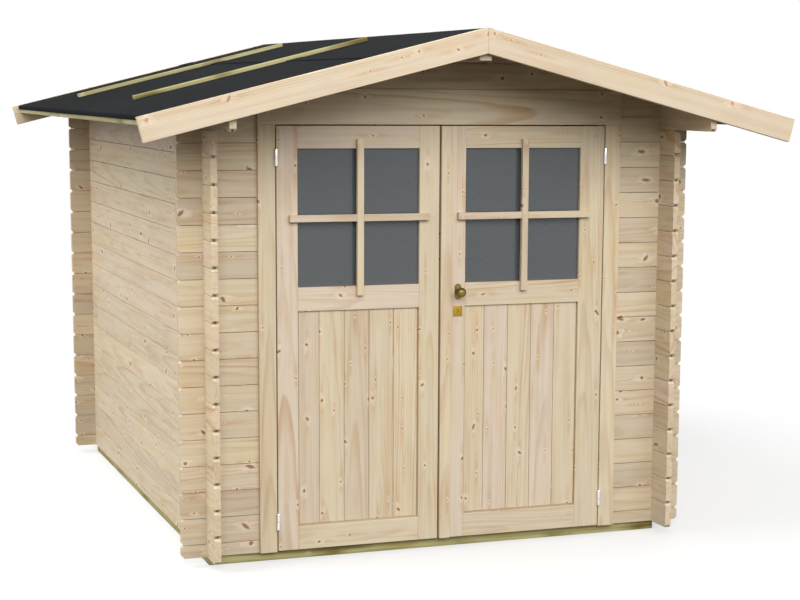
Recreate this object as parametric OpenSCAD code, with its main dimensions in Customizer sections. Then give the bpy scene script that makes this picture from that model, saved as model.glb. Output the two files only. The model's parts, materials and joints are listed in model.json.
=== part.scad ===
// Garden shed of interlocking wall boards with a low gable roof and a glazed double door.
// Millimetres. X runs along the front wall, Y to the back, Z up from the ground.
// The origin is on the ground under the middle of the roof.

/* [Base] */
// Height of the treated base beams
base_h = 40; // [30:1:80]
// Width of the treated base beams
base_w = 60; // [45:1:100]
// Setback of the beams from the outer wall faces
base_inset = 12; // [0:1:15]

/* [Walls] */
// Visible height of one interlocking wall board
course_h = 114; // [100:1:130]
// Thickness of the wall boards
wall_t = 28; // [19:1:45]
// Full courses in a side wall below the eave log
courses = 16; // [15:1:18]
// Width of the shed over the outer faces of its side walls
wall_w = 2150; // [2100:10:3000]
// Depth of the shed over the outer faces of its front and back walls
wall_d = 2730; // [1800:10:4000]
// How far front and back boards run past the side walls
front_ext = 108; // [60:1:160]
// How far side boards run past the front and back walls
side_ext = 150; // [60:1:200]
// Chamfer on the corners of the board ends
end_chamfer = 12; // [4:1:20]
// Depth of the V joint between boards
joint_d = 2.5; // [1:0.5:4]

/* [Roof] */
// Roof pitch in degrees
pitch = 14.25; // [10:0.25:20]
// Height of the eave log at the outer wall face
eave_log_h = 125; // [95:1:140]
// Overhang of the roof at the eaves
eave_over = 332; // [150:1:500]
// Overhang of the roof boards past the front wall
front_over = 480; // [200:10:700]
// Overhang of the roof boards past the back wall
back_over = 270; // [200:10:700]
// Thickness of the roof boards
deck_t = 18; // [12:1:24]
// Thickness of the roofing felt
felt_t = 3; // [2:0.5:5]
// Reach of the ridge strip of felt down each slope
ridge_strip = 515; // [300:5:700]
// Lap of the ridge strip over the strip below
felt_lap = 70; // [40:5:150]
// Depth of the felt turned down over the eave laths
felt_drip = 18; // [5:1:21]
// Width of the ridge purlin
purlin_w = 53; // [28:1:80]
// Depth of the ridge purlin
purlin_h = 110; // [60:1:130]

/* [Roof trim] */
// Depth of the barge boards
barge_h = 102; // [70:1:140]
// Thickness of the barge boards
barge_t = 28; // [18:1:35]
// Rise of the barge boards above the felt
barge_lip = 2; // [0:1:20]
// How far the barge boards run past the eave lath
barge_past = 33; // [5:1:60]
// Thickness of the eave lath
lath_t = 12; // [8:1:25]
// Height of the eave lath
lath_h = 39; // [22:1:50]
// Width of the roof battens
batten_w = 28; // [18:1:50]
// Thickness of the roof battens
batten_t = 18; // [10:1:30]
// Distance of the battens from the ridge
batten_top = 106; // [40:1:300]
// Length of the roof battens
batten_l = 1136; // [600:1:1250]
// Distance of the front batten from the front wall
batten_first = 750; // [100:10:1000]
// Spacing of the two battens
batten_pitch = 1480; // [400:10:1600]

/* [Doorway] */
// Running gap around the leaves
door_gap = 5; // [5:0.5:8]
// Thickness of the jambs
jamb_t = 30; // [20:1:45]
// Depth of the jambs into the room
jamb_d = 57; // [50:1:90]
// Thickness of the head of the door frame
head_t = 38; // [20:1:60]
// Width of the door stops
stop_w = 15; // [10:1:25]
// Width of the casings
casing_w = 76; // [50:1:110]
// Thickness of the casings and the head board
casing_t = 18; // [12:1:30]
// Room between the head board and the roof boards
head_clear = 14; // [2:1:30]

/* [Leaves] */
// Thickness of the leaves
leaf_t = 40; // [34:1:44]
// Gap between the two leaves
meeting_gap = 7; // [6.5:0.5:10]
// Width of the window and panel openings in a leaf
light_w = 549; // [400:1:660]
// Width of a stile of the left leaf; those of the right leaf are wider by half the cover strip
stile = 92.25; // [70:0.25:130]
// Height of the window opening
light_h = 590; // [400:1:800]
// Height of the top rail
top_rail = 96; // [70:1:140]
// Height of the middle rail
mid_rail = 103; // [70:1:140]
// Height of the bottom rail
bottom_rail = 104; // [70:1:140]
// Thickness of the boarded panel
panel_t = 14; // [10:1:20]
// Setback of the boarded panel from the face of the leaf
panel_back = 10; // [4:1:18]
// Width of one panel board
panel_board = 113; // [80:1:140]
// Thickness of the glass
glass_t = 4; // [3:1:6]
// Setback of the glass from the face of the leaf
glass_back = 16; // [8:1:28]
// Width of the glazing bars
bar_w = 30; // [18:1:40]
// Thickness of the glazing bars
bar_t = 22; // [6:1:28]
// Lap of the glazing bars on the leaf frame
bar_lap = 40; // [20:1:60]
// Width of the cover strip on the right leaf
strip_w = 48; // [30:1:60]
// Thickness of the cover strip
strip_t = 14; // [8:1:20]

/* [Ironmongery] */
// Radius of a hinge barrel
barrel_r = 7.5; // [6:0.5:10]
// Height of a hinge, both halves
barrel_h = 75; // [50:1:110]
// Radius of the hinge pin
pin_r = 4; // [3:0.5:5]
// Radial play of the pin in its bore
pin_play = 0.05; // [0.02:0.01:0.1]
// Radius of the hinge studs
stud_r = 3; // [2:0.5:4]
// Length of the hinge studs
stud_l = 30; // [22:1:34]
// Distance of the hinge middles from the ends of the leaf
hinge_inset = 132; // [80:1:300]
// Height of the knob above the middle of the middle rail
knob_rise = 13.5; // [-40:0.5:40]
// Diameter of the knob
knob_d = 43; // [30:1:60]
// Reach of the knob from the face of the leaf
knob_reach = 62; // [50:1:80]
// Width of the oval rosette
rosette_w = 31; // [24:1:45]
// Height of the oval rosette
rosette_h = 70; // [50:1:90]
// Thickness of the rosette and the lock plate
plate_t = 3; // [2:0.5:5]
// Width of the lock plate
lock_w = 43; // [30:1:60]
// Height of the lock plate
lock_h = 46; // [30:1:70]
// Drop from the knob to the middle of the lock plate
lock_drop = 87; // [70:1:140]

/* [Hidden] */
$fn = 48;
LEFT = -1;
RIGHT = 1;
SPRUCE = "#d8c5a9";
TREATED = "#a9a36b";
FELT = "#3a3c42";
GLASS = "#757a85";
BRASS = "#8c7a3a";
ZINC = "#c8cacb";
play = 0.1;
seat_gap = 0.3;
bed = 0.05;
long_cut = 10;

// Roof lengths and the places of the walls
roof_l = front_over + wall_d + back_over;
roof_y0 = -roof_l / 2;
roof_y1 = roof_l / 2;
front_y = roof_y0 + front_over;
back_y = front_y + wall_d;
side_x = wall_w / 2;
front_half = side_x + front_ext;
wall_z = base_h;
eave_z = wall_z + courses * course_h;
split_z = eave_z + course_h / 2;

// Roof heights: the underside of the roof boards falls from the ridge at the pitch
ridge_z = eave_z + eave_log_h + side_x * tan(pitch);
slope_l = (side_x + eave_over) / cos(pitch);
deck_l = slope_l - lath_t;
felt_n = deck_t + felt_t;
function under_z(x) = ridge_z - abs(x) * tan(pitch);
// A point on the right slope: s down the slope from the ridge, n out from the underside
function slope(s, n) = [s * cos(pitch) + n * sin(pitch), ridge_z - s * sin(pitch) + n * cos(pitch)];
// The point above the ridge at the same distance out
function crest(n) = slope(-n * tan(pitch), n);

// Doorway and leaves
leaf_out = light_w + 2 * stile + strip_w / 2 + meeting_gap / 2;
door_half = leaf_out + door_gap;
wall_end = door_half + jamb_t;
face_y = front_y - casing_t;
head_z = split_z - head_t;
leaf_z = wall_z + door_gap;
leaf_h = head_z - door_gap - leaf_z;
meeting_x = -strip_w / 2;
casing_half = door_half + casing_w;
panel_h = leaf_h - top_rail - mid_rail - bottom_rail - light_h;
panel_z = leaf_z + bottom_rail;
light_z = panel_z + panel_h + mid_rail;
function meet_x(s) = meeting_x + s * meeting_gap / 2;
function leaf_w(s) = abs(s * leaf_out - meet_x(s));
function stile_w(s) = (leaf_w(s) - light_w) / 2;
function leaf_x0(s) = min(s * leaf_out, meet_x(s));
function light_x(s) = leaf_x0(s) + stile_w(s);

// Ironmongery
hinge_x = door_half - door_gap / 2;
hinge_y = face_y - barrel_r - seat_gap;
half_barrel = barrel_h / 2;
pin_l = half_barrel - 8;
bore_l = pin_l + 2;
hinge_zs = [leaf_z + hinge_inset, leaf_z + leaf_h - hinge_inset];
strip_x = meet_x(RIGHT);
knob_x = (strip_x + strip_w + light_x(RIGHT)) / 2;
knob_z = panel_z + panel_h + mid_rail / 2 + knob_rise;
keyhole_r = 4;
neck_r = 9;

// Extrudes a shape drawn in X and Z from y0 to y1
module along_y(y0, y1) {
    translate([0, y1, 0]) rotate([90, 0, 0]) linear_extrude(y1 - y0) children();
}

// Extrudes a shape drawn in Y and Z from x0 to x1
module along_x(x0, x1) {
    translate([x0, 0, 0]) rotate([90, 0, 90]) linear_extrude(x1 - x0) children();
}

// A box between two corners
module block(low, high) {
    translate(low) cube(high - low);
}

// Mirrors a right-hand piece to the left where asked
module on_side(s) {
    if (s == LEFT) mirror([1, 0, 0]) children();
    else children();
}

// Elevation of stacked boards whose joints are at the heights zs. An end with a chamfer
// shows a notch at each joint, and an end with none is a straight cut.
module stack(a0, a1, zs, c0, c1) {
    last = len(zs) - 1;
    polygon([
        for (i = [0 : last - 1]) each [[a1 - c1, zs[i]], [a1, zs[i] + c1],
            [a1, zs[i + 1] - c1], [a1 - c1, zs[i + 1]]],
        for (i = [last : -1 : 1]) each [[a0 + c0, zs[i]], [a0, zs[i] - c0],
            [a0, zs[i - 1] + c0], [a0 + c0, zs[i - 1]]]
    ]);
}

// The slots of one crossing, half a course high, centred on the heights mids
module slots(a, mids) {
    for (z = mids) translate([a, z - course_h / 4]) square([wall_t, course_h / 2]);
}

// V joints across the face of a wall that runs along X
module joints_x(x0, x1, y, zs) {
    for (z = zs, dy = [0, wall_t]) translate([x0, y + dy, z]) rotate([0, 90, 0])
        cylinder(h = x1 - x0, r = joint_d, $fn = 4);
}

// V joints across the face of a wall that runs along Y
module joints_y(y0, y1, x, zs) {
    for (z = zs, dx = [0, wall_t]) translate([x + dx, y1, z]) rotate([90, 0, 0])
        cylinder(h = y1 - y0, r = joint_d, $fn = 4);
}

// Board joints of the front and back walls, which start with a half board
end_joints = [for (k = [0 : courses]) wall_z + (k + 0.5) * course_h];
end_zs = concat([wall_z], end_joints);
gable_joints = [for (z = split_z + course_h; z < ridge_z; z = z + course_h) z];
gable_zs = concat([split_z], gable_joints, [split_z + (len(gable_joints) + 1) * course_h]);
// Board joints of the side walls, which start with a full board
side_zs = [for (k = [0 : courses]) wall_z + k * course_h];
inner_side_zs = [for (k = [1 : courses - 1]) side_zs[k]];
inner_end_zs = [for (k = [0 : courses - 1]) end_joints[k]];
// Middles of the slots at the crossings: side boards lie in end_slots, end boards in side_slots
end_slots = [for (k = [0 : courses + 2]) wall_z + (k + 0.5) * course_h];
side_slots = [for (k = [0 : courses + 2]) wall_z + k * course_h];

// Front wall beside the doorway, as the right-hand piece
module front_wall_side() {
    difference() {
        along_y(front_y, front_y + wall_t) difference() {
            stack(wall_end, front_half, end_zs, 0, end_chamfer);
            slots(side_x - wall_t, end_slots);
        }
        joints_x(wall_end - long_cut, front_half + long_cut, front_y, inner_end_zs);
    }
}

// Gable wall above the split, cut to the roof and notched for the ridge purlin
module gable(y) {
    difference() {
        along_y(y, y + wall_t) difference() {
            intersection() {
                stack(-front_half, front_half, gable_zs, end_chamfer, end_chamfer);
                polygon([[-front_half, split_z], [front_half, split_z],
                    [front_half, under_z(front_half)], [0, ridge_z], [-front_half, under_z(front_half)]]);
            }
            slots(side_x - wall_t, end_slots);
            slots(-side_x, end_slots);
            translate([-purlin_w / 2, ridge_z - purlin_h]) square([purlin_w, purlin_h]);
        }
        joints_x(-front_half - long_cut, front_half + long_cut, y, gable_joints);
    }
}

module back_wall_boards() {
    difference() {
        along_y(back_y - wall_t, back_y) difference() {
            stack(-front_half, front_half, end_zs, end_chamfer, end_chamfer);
            slots(side_x - wall_t, end_slots);
            slots(-side_x, end_slots);
        }
        joints_x(-front_half - long_cut, front_half + long_cut, back_y - wall_t, inner_end_zs);
    }
}

// Side wall as the right-hand piece
module side_wall() {
    y0 = front_y - side_ext;
    y1 = back_y + side_ext;
    difference() {
        along_x(side_x - wall_t, side_x) difference() {
            stack(y0, y1, side_zs, end_chamfer, end_chamfer);
            slots(front_y, side_slots);
            slots(back_y - wall_t, side_slots);
        }
        joints_y(y0 - long_cut, y1 + long_cut, side_x - wall_t, inner_side_zs);
    }
}

// Eave log as the right-hand piece: its top is bevelled to the roof
module eave_log() {
    inner = side_x - wall_t;
    difference() {
        along_y(roof_y0, roof_y1)
            polygon([[inner, eave_z], [side_x, eave_z],
                [side_x, under_z(side_x)], [inner, under_z(inner)]]);
        along_x(inner - long_cut, side_x + long_cut) {
            slots(front_y, side_slots);
            slots(back_y - wall_t, side_slots);
            for (y = [roof_y0, roof_y1]) translate([y, eave_z]) circle(r = end_chamfer, $fn = 4);
        }
    }
}

// A layer of the right slope from n0 to n1, plumb at the ridge and square at s1
module roof_layer(n0, n1, s1) {
    polygon([crest(n0), crest(n1), slope(s1, n1), slope(s1, n0)]);
}

// Barge board of the right slope
module barge(y) {
    top_n = felt_n + barge_lip;
    along_y(y, y + barge_t) roof_layer(top_n - barge_h, top_n, slope_l + barge_past);
}

// Two battens on the right slope, seated on the felt and on the edge of the ridge strip
module battens() {
    seat_n = felt_n + bed;
    lap_s = ridge_strip - felt_lap;
    foot = batten_top + batten_l;
    for (i = [0, 1]) {
        y = front_y + batten_first + i * batten_pitch;
        along_y(y - batten_w / 2, y + batten_w / 2)
            polygon([slope(batten_top, seat_n), slope(lap_s - felt_lap / 4, seat_n),
                slope(lap_s, seat_n + felt_t), slope(ridge_strip + bed, seat_n + felt_t),
                slope(ridge_strip + bed, seat_n), slope(foot, seat_n),
                slope(foot, felt_n + batten_t), slope(batten_top, felt_n + batten_t)]);
    }
}

// One strip of felt below the ridge strip, turned down over the eave lath
module felt_strip() {
    lap_s = ridge_strip - felt_lap;
    along_y(roof_y0, roof_y1)
        polygon([slope(lap_s, deck_t + bed), slope(lap_s, felt_n), slope(slope_l + felt_t, felt_n),
            slope(slope_l + felt_t, deck_t - felt_drip), slope(slope_l + bed, deck_t - felt_drip),
            slope(slope_l + bed, deck_t + bed)]);
}

// Half outline of the ridge strip, which steps up over the strip below
function ridge_half() = [slope(ridge_strip - felt_lap - bed, deck_t + bed),
    slope(ridge_strip - felt_lap - bed, felt_n + bed),
    slope(ridge_strip, felt_n + bed), slope(ridge_strip, felt_n + felt_t),
    slope(ridge_strip - felt_lap, felt_n + felt_t), slope(ridge_strip - felt_lap * 5 / 4, felt_n)];

// One half of a hinge at the right jamb. The stud runs at 45 degrees into the wood on the side dx.
module stud(z, dx, r) {
    translate([hinge_x, hinge_y, z]) rotate([-90, 0, -45 * dx]) cylinder(h = stud_l, r = r);
}

module frame_hinge(z) {
    low = z - half_barrel;
    translate([hinge_x, hinge_y, low]) cylinder(h = half_barrel - seat_gap, r = barrel_r);
    translate([hinge_x, hinge_y, z - seat_gap]) cylinder(h = pin_l, r = pin_r);
    stud(z - half_barrel / 2, 1, stud_r);
}

module leaf_hinge(z) {
    difference() {
        union() {
            translate([hinge_x, hinge_y, z]) cylinder(h = half_barrel, r = barrel_r);
            stud(z + half_barrel / 2, -1, stud_r);
        }
        translate([hinge_x, hinge_y, z - 1]) cylinder(h = bore_l + 1, r = pin_r + pin_play);
    }
}

module leaf_stiles(s) {
    x0 = leaf_x0(s);
    difference() {
        for (x = [x0, light_x(s) + light_w])
            block([x, face_y, leaf_z], [x + stile_w(s), face_y + leaf_t, leaf_z + leaf_h]);
        on_side(s) for (z = hinge_zs) stud(z + half_barrel / 2, -1, stud_r + play);
    }
}

module leaf_rails(s) {
    x = light_x(s);
    for (r = [[leaf_z, bottom_rail], [panel_z + panel_h, mid_rail], [light_z + light_h, top_rail]])
        block([x, face_y, r[0]], [x + light_w, face_y + leaf_t, r[0] + r[1]]);
}

// Boarded panel: full boards from the right, the first one cut to fit
module leaf_panel(s) {
    x1 = light_x(s) + light_w;
    y = face_y + panel_back;
    difference() {
        block([light_x(s), y, panel_z], [x1, y + panel_t, panel_z + panel_h]);
        for (x = [x1 - panel_board : -panel_board : light_x(s) + panel_board / 4], dy = [0, panel_t])
            translate([x, y + dy, panel_z - 1]) cylinder(h = panel_h + 2, r = joint_d, $fn = 4);
    }
}

module leaf_glass(s) {
    y = face_y + glass_back;
    block([light_x(s), y, light_z], [light_x(s) + light_w, y + glass_t, light_z + light_h]);
}

// Cross of glazing bars laid on the face of the leaf
module leaf_bars(s) {
    mid_x = light_x(s) + light_w / 2;
    mid_z = light_z + light_h / 2;
    reach_x = light_w / 2 + bar_lap;
    reach_z = light_h / 2 + bar_lap;
    along_y(face_y - bar_t, face_y) union() {
        translate([mid_x - reach_x, mid_z - bar_w / 2]) square([2 * reach_x, bar_w]);
        translate([mid_x - bar_w / 2, mid_z - reach_z]) square([bar_w, 2 * reach_z]);
    }
}

module end_base_beams() {
    color(TREATED) for (y = [front_y + base_inset, back_y - base_inset - base_w])
        block([base_inset - side_x, y, 0], [side_x - base_inset, y + base_w, base_h]);
}
module side_base_beams() {
    color(TREATED) for (s = [LEFT, RIGHT]) on_side(s)
        block([side_x - base_inset - base_w, front_y + base_inset + base_w, 0],
            [side_x - base_inset, back_y - base_inset - base_w, base_h]);
}
module front_wall_left() { color(SPRUCE) on_side(LEFT) front_wall_side(); }
module front_wall_right() { color(SPRUCE) on_side(RIGHT) front_wall_side(); }
module front_gable() { color(SPRUCE) gable(front_y); }
module back_wall() { color(SPRUCE) back_wall_boards(); }
module back_gable() { color(SPRUCE) gable(back_y - wall_t); }
module left_wall() { color(SPRUCE) on_side(LEFT) side_wall(); }
module right_wall() { color(SPRUCE) on_side(RIGHT) side_wall(); }
module eave_logs() { color(SPRUCE) for (s = [LEFT, RIGHT]) on_side(s) eave_log(); }
module ridge_purlin() {
    color(SPRUCE) along_y(roof_y0, roof_y1)
        polygon([[-purlin_w / 2, ridge_z - purlin_h], [purlin_w / 2, ridge_z - purlin_h],
            [purlin_w / 2, under_z(purlin_w / 2)], [0, ridge_z], [-purlin_w / 2, under_z(purlin_w / 2)]]);
}
module roof_boards_left() {
    color(SPRUCE) on_side(LEFT) along_y(roof_y0, roof_y1) roof_layer(bed, deck_t, deck_l);
}
module roof_boards_right() {
    color(SPRUCE) along_y(roof_y0, roof_y1) roof_layer(bed, deck_t, deck_l);
}
module roof_felt_left() { color(FELT) on_side(LEFT) felt_strip(); }
module roof_felt_right() { color(FELT) felt_strip(); }
module roof_felt_ridge() {
    half = ridge_half();
    last = len(half) - 1;
    color(FELT) along_y(roof_y0, roof_y1)
        polygon(concat([crest(deck_t + bed)], half, [crest(felt_n)],
            [for (i = [last : -1 : 0]) [-half[i][0], half[i][1]]]));
}
module roof_battens_left() { color(TREATED) on_side(LEFT) battens(); }
module roof_battens_right() { color(TREATED) battens(); }
module eave_laths() {
    color(TREATED) for (s = [LEFT, RIGHT]) on_side(s) along_y(roof_y0, roof_y1)
        polygon([slope(deck_l + bed, deck_t - lath_h), slope(deck_l + bed, deck_t),
            slope(slope_l, deck_t), slope(slope_l, deck_t - lath_h)]);
}
module front_barge_left() { color(SPRUCE) on_side(LEFT) barge(roof_y0 - barge_t); }
module front_barge_right() { color(SPRUCE) barge(roof_y0 - barge_t); }
module back_barge_left() { color(SPRUCE) on_side(LEFT) barge(roof_y1); }
module back_barge_right() { color(SPRUCE) barge(roof_y1); }
module door_jambs() {
    color(SPRUCE) for (s = [LEFT, RIGHT]) on_side(s)
        block([door_half, front_y, wall_z], [wall_end, front_y + jamb_d, head_z]);
}
module door_head() {
    color(SPRUCE) block([-wall_end, front_y, head_z], [wall_end, front_y + jamb_d, split_z]);
}
module door_stops() {
    color(SPRUCE) for (s = [LEFT, RIGHT]) on_side(s)
        block([door_half - stop_w, face_y + leaf_t + door_gap, wall_z],
            [door_half, front_y + jamb_d, head_z]);
}
module door_casings() {
    color(SPRUCE) for (s = [LEFT, RIGHT]) on_side(s) difference() {
        block([door_half, face_y, wall_z], [casing_half, front_y, head_z]);
        for (z = hinge_zs) stud(z - half_barrel / 2, 1, stud_r + play);
    }
}
module door_head_board() {
    color(SPRUCE) block([-casing_half, face_y, head_z],
        [casing_half, front_y, under_z(casing_half) - head_clear]);
}
module frame_hinges() { color(ZINC) for (s = [LEFT, RIGHT], z = hinge_zs) on_side(s) frame_hinge(z); }
module left_leaf_stiles() { color(SPRUCE) leaf_stiles(LEFT); }
module left_leaf_rails() { color(SPRUCE) leaf_rails(LEFT); }
module left_leaf_panel() { color(SPRUCE) leaf_panel(LEFT); }
module left_leaf_glass() { color(GLASS) leaf_glass(LEFT); }
module left_leaf_bars() { color(SPRUCE) leaf_bars(LEFT); }
module left_leaf_hinges() { color(ZINC) on_side(LEFT) for (z = hinge_zs) leaf_hinge(z); }
module right_leaf_stiles() { color(SPRUCE) leaf_stiles(RIGHT); }
module right_leaf_rails() { color(SPRUCE) leaf_rails(RIGHT); }
module right_leaf_panel() { color(SPRUCE) leaf_panel(RIGHT); }
module right_leaf_glass() { color(GLASS) leaf_glass(RIGHT); }
module right_leaf_bars() { color(SPRUCE) leaf_bars(RIGHT); }
module right_leaf_hinges() { color(ZINC) for (z = hinge_zs) leaf_hinge(z); }
module cover_strip() {
    color(SPRUCE) block([strip_x, face_y - strip_t, leaf_z], [strip_x + strip_w, face_y, leaf_z + leaf_h]);
}
module rosette() {
    straight = rosette_h - rosette_w;
    color(BRASS) along_y(face_y - plate_t, face_y) translate([knob_x, knob_z]) union() {
        square([rosette_w, straight], center = true);
        for (dz = [-straight / 2, straight / 2]) translate([0, dz]) circle(d = rosette_w);
    }
}
module door_knob() {
    ball = knob_d / 2;
    color(BRASS) translate([knob_x, face_y - plate_t, knob_z]) rotate([90, 0, 0]) rotate_extrude()
        intersection() {
            union() {
                square([neck_r, knob_reach - plate_t - ball]);
                translate([0, knob_reach - plate_t - ball]) circle(r = ball);
            }
            square([ball, knob_reach]);
        }
}
module lock_plate() {
    color(BRASS) along_y(face_y - plate_t, face_y) translate([knob_x, knob_z - lock_drop]) difference() {
        square([lock_w, lock_h], center = true);
        translate([0, keyhole_r]) circle(r = keyhole_r);
        translate([-keyhole_r / 2, -2 * keyhole_r]) square([keyhole_r, 3 * keyhole_r]);
    }
}

end_base_beams();
side_base_beams();
front_wall_left();
front_wall_right();
front_gable();
back_wall();
back_gable();
left_wall();
right_wall();
eave_logs();
ridge_purlin();
roof_boards_left();
roof_boards_right();
roof_felt_left();
roof_felt_right();
roof_felt_ridge();
roof_battens_left();
roof_battens_right();
eave_laths();
front_barge_left();
front_barge_right();
back_barge_left();
back_barge_right();
door_jambs();
door_head();
door_stops();
door_casings();
door_head_board();
frame_hinges();
left_leaf_stiles();
left_leaf_rails();
left_leaf_panel();
left_leaf_glass();
left_leaf_bars();
left_leaf_hinges();
right_leaf_stiles();
right_leaf_rails();
right_leaf_panel();
right_leaf_glass();
right_leaf_bars();
right_leaf_hinges();
cover_strip();
rosette();
door_knob();
lock_plate();
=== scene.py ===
import json
import math
import random
from functools import partial

import bmesh
import bpy
from bpy.props import FloatProperty, FloatVectorProperty, PointerProperty
from bpy.types import Operator, Panel, PropertyGroup
from mathutils import Matrix, Vector, noise


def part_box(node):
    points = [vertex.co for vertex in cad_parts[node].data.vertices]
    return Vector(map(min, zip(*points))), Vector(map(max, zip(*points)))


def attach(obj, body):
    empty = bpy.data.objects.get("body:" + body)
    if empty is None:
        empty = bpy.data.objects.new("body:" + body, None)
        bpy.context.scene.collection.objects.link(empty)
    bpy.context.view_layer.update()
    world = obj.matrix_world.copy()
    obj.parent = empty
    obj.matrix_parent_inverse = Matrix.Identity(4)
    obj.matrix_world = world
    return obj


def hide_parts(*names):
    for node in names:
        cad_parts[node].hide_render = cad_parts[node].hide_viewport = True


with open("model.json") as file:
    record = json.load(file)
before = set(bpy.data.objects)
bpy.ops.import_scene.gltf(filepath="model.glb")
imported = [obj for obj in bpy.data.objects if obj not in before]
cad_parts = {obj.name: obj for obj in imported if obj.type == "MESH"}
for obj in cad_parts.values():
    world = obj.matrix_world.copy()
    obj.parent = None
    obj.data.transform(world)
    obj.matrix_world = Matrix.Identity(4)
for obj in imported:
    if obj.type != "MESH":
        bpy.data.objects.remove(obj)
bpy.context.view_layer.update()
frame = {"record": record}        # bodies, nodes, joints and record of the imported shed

bl_info = {
    "name": "Garden shed",
    "version": (1, 0, 0),
    "blender": (4, 5, 0),
    "location": "View3D > Sidebar > Shed",
    "description": "Dresses the packed frame of a garden shed with boards, felt, glass and ironmongery",
    "category": "Object",
}

X = Vector((1.0, 0.0, 0.0))
Y = Vector((0.0, 1.0, 0.0))
Z = Vector((0.0, 0.0, 1.0))
# Directions along the grain of a board, across it and through it
LEVEL = (X, Z, Y)
DEEP = (Y, Z, X)
UPRIGHT = (Z, X, Y)
QUARTER = math.pi / 2
FULL = 2 * math.pi
LEAVES = ("left_leaf", "right_leaf")


def linear(code):
    """Turn an sRGB hex colour into the linear values that shaders use."""
    parts = [int(code[i:i + 2], 16) / 255.0 for i in (1, 3, 5)]
    return tuple(p / 12.92 if p <= 0.04045 else ((p + 0.055) / 1.055) ** 2.4 for p in parts)


def length_prop(label, what, value):
    """A size in metres that the sidebar can change."""
    return FloatProperty(name=label, description=what, default=value, min=0.0, unit="LENGTH")


def angle_prop(label, what, value):
    """An angle in radians that the sidebar can change."""
    return FloatProperty(name=label, description=what, default=value, min=-1.0, max=1.0, subtype="ANGLE")


def power_prop(label, what, value):
    """The power of a lamp in watts that the sidebar can change."""
    return FloatProperty(name=label, description=what, default=value, min=0.0, unit="POWER")


def colour_prop(label, what, code):
    """A colour that the sidebar can change."""
    return FloatVectorProperty(name=label, description=what, default=linear(code), size=3,
                               min=0.0, max=1.0, subtype="COLOR")


class ShedSizes(PropertyGroup):
    """Sizes of the dressing that the frame's boxes don't give."""
    course: length_prop("Course height", "Height that one wall board adds", 0.114)
    joint: length_prop("Joint chamfer", "Chamfer on the long edges of wall boards", 0.0015)
    end_chamfer: length_prop("End chamfer", "Chamfer on the corners of the board ends", 0.012)
    joint_gap: length_prop("Joint gap", "Hairline gap between two boards", 0.002)
    strip_lap: length_prop("Strip lap", "Lap of the cover strip over the gap between the leaves", 0.002)
    deck_board: length_prop("Roof board", "Cover width of one roof board", 0.0967)
    deck: length_prop("Roof board thickness", "Thickness of the roof boards", 0.018)
    barge: length_prop("Barge height", "Height of the barge boards", 0.102)
    drip: length_prop("Felt drip", "Depth of the felt turned down at the eaves", 0.018)
    batten: length_prop("Batten width", "Width of the roof battens", 0.028)
    batten_thick: length_prop("Batten thickness", "Thickness of the roof battens", 0.018)
    lath: length_prop("Lath height", "Height of the eave laths", 0.039)
    lath_thick: length_prop("Lath thickness", "Thickness of the eave laths", 0.012)
    felt: length_prop("Felt thickness", "Thickness of one layer of roofing felt", 0.003)
    felt_bend: length_prop("Felt bend", "Radius of the felt where it turns down at the eaves", 0.009)
    panel_gap: length_prop("Panel gap", "Shadow gap between a door panel and its frame", 0.004)
    panel_board: length_prop("Panel board", "Cover width of one board in a door panel", 0.113)
    bar: length_prop("Glazing bar", "Width of the glazing bars", 0.030)
    stop: length_prop("Door stop", "Width of the door stops", 0.015)
    barrel: length_prop("Hinge barrel", "Radius of the hinge barrels", 0.0075)
    soft_edge: length_prop("Soft edge", "Rounding on the edges of planed timber", 0.002)
    pitch: angle_prop("Pitch", "Slope of the roof", math.radians(14.25))


class ShedColours(PropertyGroup):
    """Colours of the bare materials."""
    spruce_pale: colour_prop("Pale spruce", "Palest wall boards", "#DDCEB2")
    spruce_warm: colour_prop("Warm spruce", "Common wall boards", "#D2C3AB")
    spruce_gold: colour_prop("Golden spruce", "Boards with a yellow cast", "#D6C8AD")
    spruce_pink: colour_prop("Pink spruce", "Boards with a pink cast", "#DBCBB8")
    spruce_grey: colour_prop("Grey spruce", "Dullest wall boards", "#C6B8A2")
    barge: colour_prop("Barge spruce", "Boards of the roof edge", "#E0D0B7")
    treated: colour_prop("Treated pine", "Green-treated base beams", "#ACA56C")
    lath: colour_prop("Treated lath", "Paler treated battens and laths", "#C9C49B")
    knot: colour_prop("Knot", "Heart of a knot", "#63462F")
    knot_pale: colour_prop("Pale knot", "Heart of a knot in the boards of the roof edge", "#94663F")
    felt: colour_prop("Felt", "Bitumen roofing felt", "#16181A")
    # painted reflection: the grey-blue of the half-clear panes stands for the sky reflected in them
    glass: colour_prop("Glass", "Tint of the panes", "#62686B")
    brass: colour_prop("Brass", "Knob and rosette", "#7D6C3E")
    plate: colour_prop("Bright brass", "Lock plate", "#9E8032")
    zinc: colour_prop("Zinc", "Hinge barrels", "#E6E8EA")
    # painted shade: the keyhole piece is coloured as brass in the shade of the hole
    keyhole: colour_prop("Keyhole", "Brass in the shade of the keyhole", "#9A6426")
    floor: colour_prop("Floor", "Studio floor", "#F4F4F4")


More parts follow.
